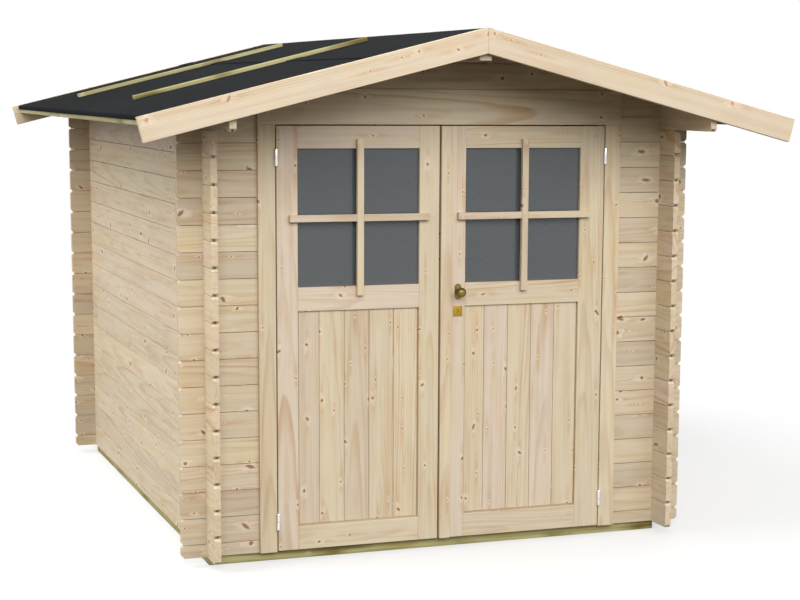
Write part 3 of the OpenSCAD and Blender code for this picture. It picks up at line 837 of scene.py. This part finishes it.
class SHED_OT_felt(Operator):
    """Roofing felt: strips on the slopes, turned down at the eaves, and a ridge strip that laps both"""
    bl_idname = "shed.felt"
    bl_label = "Roofing felt"
    bl_options = {"REGISTER", "UNDO"}

    def execute(self, context):
        sizes = context.scene.shed_sizes
        look = material(bitumen_felt, context)
        thick = sizes.felt
        top = sizes.deck + thick
        c = math.cos(sizes.pitch)
        s = math.sin(sizes.pitch)
        bend = sizes.felt_bend
        for name, side in (("roof_felt_left", -1), ("roof_felt_right", 1)):
            lo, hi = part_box(name)
            down, out = slope_axes(side, sizes)
            near = (RIDGE.z + top * c - hi.z) / s
            flat = down_slope((lo, hi), top, sizes) - bend
            arc = bend * QUARTER

            def strip(t, y, n):
                if t <= flat:
                    return RIDGE + down * t + out * (top + n) + Y * y
                turn = min((t - flat) / bend, QUARTER)
                hang = max(t - flat - arc, 0.0)
                away = down * math.sin(turn) + out * math.cos(turn)
                return RIDGE + down * flat + out * (top - bend - hang) + away * (bend + n) + Y * y

            stops = [near + (flat - near) * i / STRIP_STEPS for i in range(STRIP_STEPS + 1)]
            stops += [flat + arc * i / BEND_STEPS for i in range(1, BEND_STEPS + 1)]
            stops += [flat + arc + sizes.drip + thick - bend]
            pile = self.sheet(strip, stops, lo.y, hi.y, thick)
            stand(name + "_strip", pile, look, "shell", [name], CREASE)
        lo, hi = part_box("roof_felt_ridge")
        half = down_slope((lo, hi), top + thick, sizes)
        lap = near - LAP_RISE        # the strips on both slopes begin at the same distance

        def fold(t, y, n):
            down, out = slope_axes(-1 if t < 0 else 1, sizes)
            lift = top + thick * min(max((abs(t) - lap) / LAP_RISE, 0.0), 1.0) + n
            if t == 0:
                return RIDGE + Z * (lift / c) + Y * y
            return RIDGE + down * abs(t) + out * lift + Y * y

        stops = [half * i / RIDGE_STEPS for i in range(-RIDGE_STEPS, RIDGE_STEPS + 1)]
        pile = self.sheet(fold, stops, lo.y, hi.y, thick)
        stand("roof_felt_ridge_strip", pile, look, "shell", ["roof_felt_ridge"], CREASE)
        return {"FINISHED"}

    def sheet(self, where, stops, y0, y1, thick):
        """A thin sheet with the small waves of felt, made flat and then bent into place."""
        bm = bmesh.new()
        last = len(stops) - 1
        bmesh.ops.create_grid(bm, x_segments=last, y_segments=LONG_STEPS, size=0.5)
        for v in bm.verts:
            t = stops[round((v.co.x + 0.5) * last)]
            y = y0 + (v.co.y + 0.5) * (y1 - y0)
            wave = noise.noise(Vector((t * FELT_WAVES[0], y * FELT_WAVES[1], WAVE_SEED)))
            v.co = (t, y, wave * FELT_WAVE)
        grown = bmesh.ops.extrude_face_region(bm, geom=bm.faces[:])
        moved = [g for g in grown["geom"] if isinstance(g, bmesh.types.BMVert)]
        bmesh.ops.translate(bm, verts=moved, vec=(0.0, 0.0, -thick))
        for v in bm.verts:
            v.co = where(*v.co)
        bmesh.ops.recalc_face_normals(bm, faces=bm.faces)
        if bm.calc_volume(signed=True) < 0.0:
            bmesh.ops.reverse_faces(bm, faces=bm.faces)
        return bm


# Softer or sharper edges, as shares of the common soft edge
LATH_SOFT = 0.7
STRIP_SOFT = 1.8
LIP_SOFT = 0.5


class SHED_OT_roof_trim(Operator):
    """Treated battens that hold the felt down, and the laths along the eaves"""
    bl_idname = "shed.roof_trim"
    bl_label = "Battens and laths"
    bl_options = {"REGISTER", "UNDO"}

    def execute(self, context):
        sizes = context.scene.shed_sizes
        look = material(green_treated_pine, context)
        rise = sizes.deck + sizes.felt
        for name, side in (("roof_battens_left", -1), ("roof_battens_right", 1)):
            rng = seeded(name)
            lo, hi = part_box(name)
            down, out = slope_axes(side, sizes)
            wide = sizes.batten
            thick = sizes.batten_thick
            far = down_slope((lo, hi), rise + thick, sizes)
            near = (min(abs(lo.x), abs(hi.x)) - rise * math.sin(sizes.pitch)) / math.cos(sizes.pitch)
            pile = pile_up()
            for y0 in (lo.y, hi.y - wide):
                foot = RIDGE + down * near + out * rise + Y * y0
                plank(pile, foot, (down, Y, out), (far - near, wide, thick), sizes.soft_edge, rng,
                      tone=rng.uniform(*BATTEN_TONES))
            stand(name + "_pair", pile, look, "shell", [name])
        rng = seeded("eave_laths")
        lo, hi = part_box("eave_laths")
        pile = pile_up()
        size = (hi.y - lo.y, sizes.lath, sizes.lath_thick)
        end = down_slope((lo, hi), sizes.deck, sizes) - sizes.lath_thick
        for side in (-1, 1):
            down, out = slope_axes(side, sizes)
            foot = RIDGE + down * end + out * (sizes.deck - sizes.lath) + Y * lo.y
            plank(pile, foot, (Y, out, down), size, sizes.soft_edge * LATH_SOFT, rng, tone=LATH_TONE)
        stand("eave_lath_pair", pile, look, "shell", ["eave_laths"])
        return {"FINISHED"}


class SHED_OT_barges(Operator):
    """Barge boards on the four roof edges, mitred at the ridge"""
    bl_idname = "shed.barge_boards"
    bl_label = "Barge boards"
    bl_options = {"REGISTER", "UNDO"}

    def execute(self, context):
        sizes = context.scene.shed_sizes
        look = material(ringed_spruce, context)
        for name, side in (("front_barge_left", -1), ("front_barge_right", 1),
                           ("back_barge_left", -1), ("back_barge_right", 1)):
            rng = seeded(name + " edge")
            lo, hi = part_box(name)
            down, out = slope_axes(side, sizes)
            crest = (hi.z - RIDGE.z) * math.cos(sizes.pitch)
            tall = sizes.barge
            size = (down_slope((lo, hi), crest, sizes) + BARGE_OVERRUN, tall, hi.y - lo.y)
            foot = RIDGE + out * (crest - tall) - down * BARGE_OVERRUN + Y * lo.y
            pile = pile_up()
            plank(pile, foot, (down, out, Y), size, sizes.soft_edge, rng,
                  cuts=[(side * MITRE_GAP * X, -side * X)], tone=rng.uniform(*BARGE_TONES), flat=0.0)
            stand(name + "_board", pile, look, "shell", [name])
        return {"FINISHED"}


class SHED_OT_door_frame(Operator):
    """Door frame: jambs, head, stops, casings and the wide head board"""
    bl_idname = "shed.door_frame"
    bl_label = "Door frame"
    bl_options = {"REGISTER", "UNDO"}

    def execute(self, context):
        sizes = context.scene.shed_sizes
        look = material(joinery_spruce, context)
        soft = sizes.soft_edge
        rng = seeded("door_frame")
        for name in ("door_jambs", "door_stops", "door_casings"):
            lo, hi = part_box(name)
            wide = sizes.stop if name == "door_stops" else hi.x - DOOR_HALF
            pile = pile_up()
            for x0 in (lo.x, hi.x - wide):
                plank(pile, (x0, lo.y, lo.z), UPRIGHT, (hi.z - lo.z, wide, hi.y - lo.y), soft, rng)
            stand(name + "_pair", pile, look, "shell", [name])
        for name in ("door_head", "door_head_board"):
            lo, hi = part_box(name)
            pile = pile_up()
            plank(pile, lo, LEVEL, (hi.x - lo.x, hi.z - lo.z, hi.y - lo.y), soft, rng)
            stand(name + "_piece", pile, look, "shell", [name])
        return {"FINISHED"}


# Lips behind the shadow gap of a door panel: width in gaps, then place and thickness in panel thicknesses
LIP_WIDE = 6
LIP_BACK = 0.4
LIP_THICK = 0.35


class SHED_OT_leaves(Operator):
    """Door leaves: stiles and rails round a boarded panel below and a pane above"""
    bl_idname = "shed.leaves"
    bl_label = "Door leaves"
    bl_options = {"REGISTER", "UNDO"}

    def execute(self, context):
        sizes = context.scene.shed_sizes
        look = material(joinery_spruce, context)
        soft = sizes.soft_edge
        for leaf in LEAVES:
            rng = seeded(leaf)
            slo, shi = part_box(leaf + "_stiles")
            rlo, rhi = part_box(leaf + "_rails")
            plo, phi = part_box(leaf + "_panel")
            glo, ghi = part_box(leaf + "_glass")
            thick = shi.y - slo.y
            pile = pile_up()
            for x0, x1 in ((slo.x, rlo.x), (rhi.x, shi.x)):
                plank(pile, (x0, slo.y, slo.z), UPRIGHT, (shi.z - slo.z, x1 - x0, thick), soft, rng)
            stand(leaf + "_stile_pair", pile, look, leaf, [leaf + "_stiles"])
            pile = pile_up()
            for z0, z1 in ((rlo.z, plo.z), (phi.z, glo.z), (ghi.z, rhi.z)):
                plank(pile, (rlo.x, slo.y, z0), LEVEL, (rhi.x - rlo.x, z1 - z0, thick), soft, rng)
            stand(leaf + "_rail_set", pile, look, leaf, [leaf + "_rails"])
            self.panel(leaf, plo, phi, sizes, look, rng)
            self.bars(leaf, sizes, look, rng)
        lo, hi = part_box("cover_strip")
        pile = pile_up()
        lap = sizes.strip_lap
        size = (hi.z - lo.z, hi.x - lo.x + lap, hi.y - lo.y)
        plank(pile, lo - X * lap, UPRIGHT, size, soft * STRIP_SOFT, seeded("strip"))
        stand("cover_strip_lath", pile, look, "right_leaf", ["cover_strip"])
        return {"FINISHED"}

    def panel(self, leaf, lo, hi, sizes, look, rng):
        """Upright tongue-and-groove boards, the first one narrower, with a shadow gap to the frame."""
        t = hi.y - lo.y
        gap = sizes.panel_gap
        wide = sizes.panel_board
        right = hi.x - gap
        foot = lo.z + 2 * gap
        joints = [lo.x + gap, lo.x + (hi.x - lo.x) % wide]
        while joints[-1] < right - gap:
            joints.append(min(joints[-1] + wide, right))
        pile = pile_up()
        for x0, x1 in zip(joints, joints[1:]):
            bm = section(grooved(x1 - x0, t, sizes, x0 > joints[0]), hi.z - foot)
            if x1 < right:
                drop(bm, tongue(hi.z - foot, x1 - x0, t, 0.0))
            lay(pile, bm, place((x0, lo.y, foot), *UPRIGHT), rng)
        lip = LIP_WIDE * gap
        back = hi.y - t * LIP_BACK
        thick = t * LIP_THICK
        soft = sizes.soft_edge * LIP_SOFT
        for x0 in (lo.x, hi.x - lip):
            plank(pile, (x0, back, lo.z), UPRIGHT, (hi.z - lo.z, lip, thick), soft, rng, 1)
        size = (hi.x - lo.x - 2 * lip, lip, thick)
        plank(pile, (lo.x + lip, back, lo.z), LEVEL, size, soft, rng, 1)
        stand(leaf + "_panel_boards", pile, look, leaf, [leaf + "_panel"])

    def bars(self, leaf, sizes, look, rng):
        """Glazing cross: one upright bar with two level bars butted against it."""
        lo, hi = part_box(leaf + "_bars")
        half = sizes.bar / 2
        mid = (lo + hi) / 2
        t = hi.y - lo.y
        soft = sizes.soft_edge
        pile = pile_up()
        plank(pile, (mid.x - half, lo.y, lo.z), UPRIGHT, (hi.z - lo.z, sizes.bar, t), soft, rng)
        for x0, x1 in ((lo.x, mid.x - half), (mid.x + half, hi.x)):
            plank(pile, (x0, lo.y, mid.z - half), LEVEL, (x1 - x0, sizes.bar, t), soft, rng)
        stand(leaf + "_bar_cross", pile, look, leaf, [leaf + "_bars"])


PANE_EDGE = 0.0005           # ground edge of a pane


class SHED_OT_panes(Operator):
    """Window panes"""
    bl_idname = "shed.panes"
    bl_label = "Panes"
    bl_options = {"REGISTER", "UNDO"}

    def execute(self, context):
        look = material(window_glass, context)
        for leaf in LEAVES:
            lo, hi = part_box(leaf + "_glass")
            pile = planed(*(hi - lo), PANE_EDGE, 1)
            bmesh.ops.translate(pile, verts=pile.verts, vec=lo)
            stand(leaf + "_pane", pile, look, leaf, [leaf + "_glass"])
        return {"FINISHED"}


# Outline of half a hinge barrel: share of the radius less an inset, at a height from the joint ...
BARREL_JOINT = ((0.0, 0.0, 0.0002), (1.0, 0.0008, 0.0002), (1.0, 0.0, 0.001))
# ... and then share of the radius, at a depth from the tip
BARREL_CAP = ((1.0, 0.004), (0.86, 0.0012), (0.5, 0.0), (0.0, 0.0))
BARREL_STEPS = 32


class SHED_OT_hinges(Operator):
    """Hinge barrels: a lower half on the frame and an upper half on the leaf"""
    bl_idname = "shed.hinges"
    bl_label = "Hinges"
    bl_options = {"REGISTER", "UNDO"}

    def execute(self, context):
        sizes = context.scene.shed_sizes
        look = material(zinc_plated_steel, context)
        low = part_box("frame_hinges")[0].z
        lower = bmesh.new()
        for leaf in LEAVES:
            lo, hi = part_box(leaf + "_hinges")
            half = lo.z - low
            x, y, _ = self.axis(leaf)
            upper = bmesh.new()
            for z in (lo.z, hi.z - half):
                self.barrel(upper, Vector((x, y, z)), sizes.barrel, half, 1)
                self.barrel(lower, Vector((x, y, z)), sizes.barrel, half, -1)
            stand(leaf + "_hinge_barrels", upper, look, leaf, [leaf + "_hinges"], CREASE)
        stand("frame_hinge_barrels", lower, look, "shell", ["frame_hinges"], CREASE)
        return {"FINISHED"}

    def axis(self, leaf):
        """Place of a leaf's hinge line."""
        for joint in frame["record"]["behaviour"]["joints"]:
            if joint["child"] == leaf:
                return joint["pos_m"]
        raise RuntimeError("no joint moves " + leaf)

    def barrel(self, pile, foot, r, tall, way):
        """A turned half barrel with a domed cap, upward (1) or downward (-1) from its joint."""
        outline = [(r * share - inset, joint) for share, inset, joint in BARREL_JOINT]
        outline += [(r * share, tall - cap) for share, cap in BARREL_CAP]
        points = [foot + X * a + Z * way * b for a, b in outline]
        drop(pile, turned(points, foot, Z, BARREL_STEPS))


# Outline of the knob: share of the radius, at a depth from its front ...
KNOB_HEAD = ((0.0, 0.0), (0.45, 0.0008), (0.78, 0.005), (0.96, 0.012), (1.0, 0.018), (0.95, 0.024),
             (0.75, 0.031), (0.5, 0.036), (0.42, 0.044))
# ... and then share of the radius, at a height from the rosette
KNOB_FOOT = ((0.46, 0.006), (0.58, 0.002), (0.58, 0.0), (0.0, 0.0))
ROUND_STEPS = 48             # faces round the knob and the rosette
PLATE_BEVEL = 0.6            # bevel of a plate's rim, as a share of its thickness
KEY_RADIUS = 0.0042          # round part of the keyhole, and where its middle is above the plate's
KEY_RISE = 0.005
KEY_STEPS = 24
KEY_SLOT = (0.0042, 0.0006, 0.012)   # slot of the keyhole: width, thickness and height
KEY_SOFT = 0.0002
KEY_DROP = 0.008             # foot of the slot below the middle of the plate
KEY_PROUD = 0.0004           # how far the keyhole stands out of the plate


class SHED_OT_lock(Operator):
    """Knob on its oval rosette, and the lock plate with its keyhole"""
    bl_idname = "shed.lock"
    bl_label = "Knob and lock"
    bl_options = {"REGISTER", "UNDO"}

    def execute(self, context):
        look = material(dull_brass, context)
        lo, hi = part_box("rosette")
        wide = hi.x - lo.x
        tall = hi.z - lo.z
        bm = bmesh.new()
        # half a step of turn leaves no point between the two round ends of the oval
        bmesh.ops.create_circle(bm, cap_ends=True, segments=ROUND_STEPS, radius=0.5,
                                matrix=Matrix.Rotation(math.pi / ROUND_STEPS, 4, "Z"))
        for v in bm.verts:
            v.co.y = (v.co.y * wide + math.copysign((tall - wide) / 2, v.co.y)) / tall
        self.plate(bm, lo, hi)
        stand("rosette_plate", bm, look, "right_leaf", ["rosette"], PLATE_CREASE)

        lo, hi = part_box("door_knob")
        r = (hi.x - lo.x) / 2
        long = hi.y - lo.y
        mid = Vector(((lo.x + hi.x) / 2, hi.y, (lo.z + hi.z) / 2))
        outline = [(r * share, long - depth) for share, depth in KNOB_HEAD]
        outline += [(r * share, height) for share, height in KNOB_FOOT]
        bm = turned([mid + X * a - Y * b for a, b in outline], mid, Y, ROUND_STEPS)
        stand("door_knob_turned", bm, look, "right_leaf", ["door_knob"], KNOB_CREASE)

        lo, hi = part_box("lock_plate")
        bm = bmesh.new()
        bmesh.ops.create_grid(bm, x_segments=1, y_segments=1, size=0.5)
        self.plate(bm, lo, hi)
        look = material(satin_brass, context)
        stand("lock_plate_cover", bm, look, "right_leaf", ["lock_plate"], PLATE_CREASE)

        # the keyhole is no hole but a thin brown piece standing proud of the plate: painted shade of the
        # hole
        wide, thick, _ = KEY_SLOT
        eye = Vector(((lo.x + hi.x) / 2, lo.y - KEY_PROUD, (lo.z + hi.z) / 2))
        middle = eye + Y * (thick / 2) + Z * KEY_RISE
        bm = bmesh.new()
        turn = Matrix.Translation(middle) @ Matrix.Rotation(QUARTER, 4, "X")
        bmesh.ops.create_cone(bm, cap_ends=True, segments=KEY_STEPS, radius1=KEY_RADIUS,
                              radius2=KEY_RADIUS, depth=thick, matrix=turn)
        slot = planed(*KEY_SLOT, KEY_SOFT, 1)
        bmesh.ops.translate(slot, verts=slot.verts, vec=eye - X * (wide / 2) - Z * KEY_DROP)
        drop(bm, slot)
        stand("keyhole", bm, material(shaded_brass, context), "right_leaf")
        return {"FINISHED"}

    def plate(self, bm, lo, hi):
        """Grow a flat outline into a plate with a bevelled rim, upright against the door."""
        mid = (lo + hi) / 2
        wide = hi.x - lo.x
        tall = hi.z - lo.z
        thick = hi.y - lo.y
        for v in bm.verts:
            v.co = (mid.x + v.co.x * wide, hi.y, mid.z + v.co.y * tall)
        grown = bmesh.ops.extrude_face_region(bm, geom=bm.faces[:])
        front = [g for g in grown["geom"] if isinstance(g, bmesh.types.BMVert)]
        bmesh.ops.translate(bm, verts=front, vec=(0.0, -thick, 0.0))
        rim = [e for e in bm.edges if all(abs(v.co.y - lo.y) < WELD for v in e.verts)]
        bmesh.ops.bevel(bm, geom=rim, offset=thick * PLATE_BEVEL, affect="EDGES", segments=3, profile=0.5,
                        material=-1)
        bmesh.ops.recalc_face_normals(bm, faces=bm.faces)


LAMPS = {       # place of each soft lamp, in metres
    "front": (-3.5, -17.5, 10.1),
    "right": (8.0, -17.0, 9.5),
    "left": (-17.0, -2.0, 8.0),
    "high": (-11.0, 1.0, 16.0),
    "back": (13.0, 15.0, 9.0),
}
LAMP_SIZE = 11.0
LAMP_AIM = Vector((0.0, 0.0, 1.0))
SENSOR = 36.0                # width of the camera's sensor in millimetres
WHITE = (1.0, 1.0, 1.0)
FLOOR_SIZE = 60.0
FLOOR_DROP = 0.0005          # the floor lies this much under the beams
FLOOR_SHADE = "#3F3F3F"      # what the shed sees of the floor
GLOW = (2.5, 5.5)            # distances from the middle where the floor begins to turn white, and is white
GLOW_NEAR = 0.5              # share of white near the shed
BEAM_SIDE = 0.04             # width of the edge between the floor in the shed and the floor outside
BEAM_END = (0.07, 0.03)      # the same at the end walls, back from their outer faces


class SHED_OT_stage(Operator):
    """Pale floor, soft studio light and the photograph's camera"""
    bl_idname = "shed.stage"
    bl_label = "Stage"
    bl_options = {"REGISTER", "UNDO"}

    def execute(self, context):
        scene = context.scene
        stage = scene.shed_stage
        scene.view_settings.view_transform = "Standard"
        self.floor(scene.shed_colours)
        self.world(scene, stage.sky)
        for name, spot in LAMPS.items():
            self.lamp(name + "_light", spot, getattr(stage, name))
        self.camera(scene, stage)
        return {"FINISHED"}

    def floor(self, colours):
        """A wide floor that keeps the shadow near the shed, is plain white farther out and dim indoors."""
        made, add = fresh("studio_floor")
        where = add("TexCoord").outputs["Object"]
        seen = self.direct(add)
        lo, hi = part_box("left_wall")
        middle = (lo.y + hi.y) / 2
        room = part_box("back_wall")[1].y - middle
        across, deep = add("SeparateXYZ", where).outputs[:2]
        across = add("Math", across, operation="ABSOLUTE")
        deep = add("Math", add("Math", deep, middle, **LESS), operation="ABSOLUTE")
        beside = add("MapRange", across, -hi.x - BEAM_SIDE, -hi.x, **SMOOTH)
        beyond = add("MapRange", deep, room - BEAM_END[0], room - BEAM_END[1], **SMOOTH)
        outside = add("Math", beside, beyond, operation="MAXIMUM")
        away = add("VectorMath", where, operation="LENGTH")
        share = add("MapRange", away, *GLOW, GLOW_NEAR, 1.0, **SMOOTH)
        share = add("Math", add("Math", share, outside, **TIMES), seen, **TIMES)
        plain = add("BsdfDiffuse", add("Mix", seen, linear(FLOOR_SHADE), colours.floor, **COVER))
        glow = add("Emission", WHITE, 1.0)
        add("OutputMaterial", add("MixShader", share, plain, glow))
        bm = bmesh.new()
        bmesh.ops.create_grid(bm, x_segments=1, y_segments=1, size=FLOOR_SIZE)
        bmesh.ops.translate(bm, verts=bm.verts, vec=(0.0, 0.0, -FLOOR_DROP))
        mesh = bpy.data.meshes.new("floor")
        bm.to_mesh(mesh)
        bm.free()
        mesh.materials.append(made)
        obj = bpy.data.objects.new("floor", mesh)
        bpy.context.scene.collection.objects.link(obj)

    def world(self, scene, strength):
        """Even light all round that the camera, reflections and glass see as white."""
        scene.world = bpy.data.worlds.new("studio")
        scene.world.use_nodes = True
        scene.world.node_tree.nodes.clear()
        add = partial(node, scene.world.node_tree)
        even = add("Background", WHITE, strength)
        white = add("Background", WHITE, 1.0)
        add("OutputWorld", add("MixShader", self.direct(add), even, white))

    def direct(self, add):
        """One for rays of the camera, a reflection or through glass; nought for light on the shed."""
        path = add("LightPath").outputs
        mirrored = add("Math", path["Is Camera Ray"], path["Is Glossy Ray"], operation="MAXIMUM")
        return add("Math", mirrored, path["Is Transmission Ray"], operation="MAXIMUM")

    def lamp(self, name, spot, power):
        """A big soft lamp, far off, aimed at the middle of the shed."""
        light = bpy.data.lights.new(name, "AREA")
        light.size = LAMP_SIZE
        light.energy = power
        obj = bpy.data.objects.new(name, light)
        obj.location = spot
        obj.rotation_euler = (LAMP_AIM - Vector(spot)).to_track_quat("-Z", "Y").to_euler()
        bpy.context.scene.collection.objects.link(obj)

    def camera(self, scene, stage):
        """The camera that was fitted to the photograph."""
        lens = bpy.data.cameras.new("photo_camera")
        lens.sensor_width = SENSOR
        lens.lens = stage.lens
        lens.shift_x, lens.shift_y = stage.shift
        level = Vector((math.sin(stage.yaw), math.cos(stage.yaw), 0.0))
        ahead = level * math.cos(stage.tilt) + Z * math.sin(stage.tilt)
        right = ahead.cross(Z).normalized()
        up = right.cross(ahead)
        side = right * math.cos(stage.roll) + up * math.sin(stage.roll)
        top = up * math.cos(stage.roll) - right * math.sin(stage.roll)
        obj = bpy.data.objects.new("photo_camera", lens)
        obj.matrix_world = place(Vector(stage.eye), side, top, -ahead)
        scene.collection.objects.link(obj)
        scene.camera = obj


PIECES = (SHED_OT_base, SHED_OT_walls, SHED_OT_gables, SHED_OT_logs, SHED_OT_roof_boards,
          SHED_OT_felt, SHED_OT_roof_trim, SHED_OT_barges, SHED_OT_door_frame, SHED_OT_leaves,
          SHED_OT_panes, SHED_OT_hinges, SHED_OT_lock, SHED_OT_stage)


class SHED_PT_panel(Panel):
    """Sizes, colours, stage and one button for each piece"""
    bl_label = "Garden shed"
    bl_idname = "SHED_PT_panel"
    bl_space_type = "VIEW_3D"
    bl_region_type = "UI"
    bl_category = "Shed"

    def draw(self, context):
        for group in (context.scene.shed_sizes, context.scene.shed_colours, context.scene.shed_stage):
            box = self.layout.box()
            for name in group.__annotations__:
                box.prop(group, name)
        for piece in PIECES:
            self.layout.operator(piece.bl_idname)


CLASSES = (ShedSizes, ShedColours, ShedStage) + PIECES + (SHED_PT_panel,)


def register():
    for cls in CLASSES:
        bpy.utils.register_class(cls)
    bpy.types.Scene.shed_sizes = PointerProperty(type=ShedSizes)
    bpy.types.Scene.shed_colours = PointerProperty(type=ShedColours)
    bpy.types.Scene.shed_stage = PointerProperty(type=ShedStage)


def unregister():
    del bpy.types.Scene.shed_stage
    del bpy.types.Scene.shed_colours
    del bpy.types.Scene.shed_sizes
    for cls in reversed(CLASSES):
        bpy.utils.unregister_class(cls)


def main():
    register()
    for piece in PIECES:
        group, name = piece.bl_idname.split(".")
        getattr(getattr(bpy.ops, group), name)()


if __name__ == "__main__":
    main()
